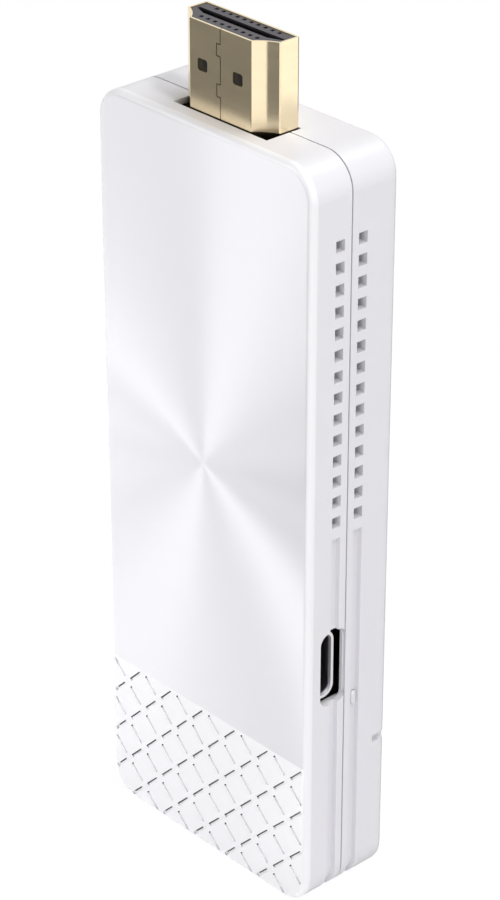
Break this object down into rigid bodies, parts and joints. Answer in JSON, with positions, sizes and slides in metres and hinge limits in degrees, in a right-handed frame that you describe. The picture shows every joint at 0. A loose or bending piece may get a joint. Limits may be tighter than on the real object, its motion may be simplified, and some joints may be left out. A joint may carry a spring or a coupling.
{
  "type": "wireless display dongle",
  "caption": "Slim white two-part stick with a square gold-plated video plug, side vents, a side power port and a pin-pressed reset button.",
  "frame": {"origin": "on the lower end of the housing, in the middle of its width and depth", "axes": "+Z from the lower end to the mouth of the plug, -Y out of the patterned front face, +X out of the side with the power port and the reset button"},
  "size_m": [0.0328, 0.012, 0.0987],
  "materials": {
    "front_plastic": "white moulded plastic with a finely spun face",
    "rear_plastic": "white moulded plastic",
    "plug_gold": "thin gold plating on folded sheet, satin",
    "insulator_plastic": "black moulded plastic",
    "contact_gold": "gold plating",
    "board_laminate": "black solder resist on glass laminate",
    "port_steel": "nickel plating",
    "port_plastic": "black moulded plastic",
    "button_plastic": "white moulded plastic",
    "switch_plastic": "black moulded plastic",
    "switch_steel": "plain sheet",
    "chip_epoxy": "dark moulding compound",
    "pad_silicone": "soft heat-conducting silicone",
    "sink_aluminium": "plain",
    "shield_steel": "tin plating",
    "inductor_ferrite": "pressed metal powder, dark grey",
    "capacitor_ceramic": "tan ceramic",
    "radio_laminate": "blue solder resist on glass laminate",
    "antenna_steel": "tin plating"
  },
  "bodies": {
    "stick": {"front_shell": "front_plastic", "rear_shell": "rear_plastic", "plug_shell": "plug_gold", "plug_insulator": "insulator_plastic", "plug_contacts_front": "contact_gold", "plug_contacts_rear": "contact_gold", "main_board": "board_laminate", "port_shell": "port_steel", "port_tongue": "port_plastic", "port_contacts": "contact_gold", "switch_case": "switch_plastic", "switch_cover": "switch_steel", "processor": "chip_epoxy", "thermal_pad": "pad_silicone", "heat_sink": "sink_aluminium", "shield_fence": "shield_steel", "shield_cover": "shield_steel", "memory_chips": "chip_epoxy", "flash_chip": "chip_epoxy", "power_chip": "chip_epoxy", "power_inductors": "inductor_ferrite", "capacitor_row": "capacitor_ceramic", "crystal": "shield_steel", "radio_board": "radio_laminate", "radio_shield": "shield_steel", "antenna_right": "antenna_steel", "antenna_left": "antenna_steel"},
    "button": {"reset_button": "button_plastic", "reset_plunger": "switch_plastic"}
  },
  "joints": [
    {"name": "button_press", "type": "slide", "parent": "stick", "child": "button", "axis": [-1, 0, 0], "range_m": [0, 0.00025], "stiffness_N_per_m": 4000, "springref_m": -0.00025}
  ]
}
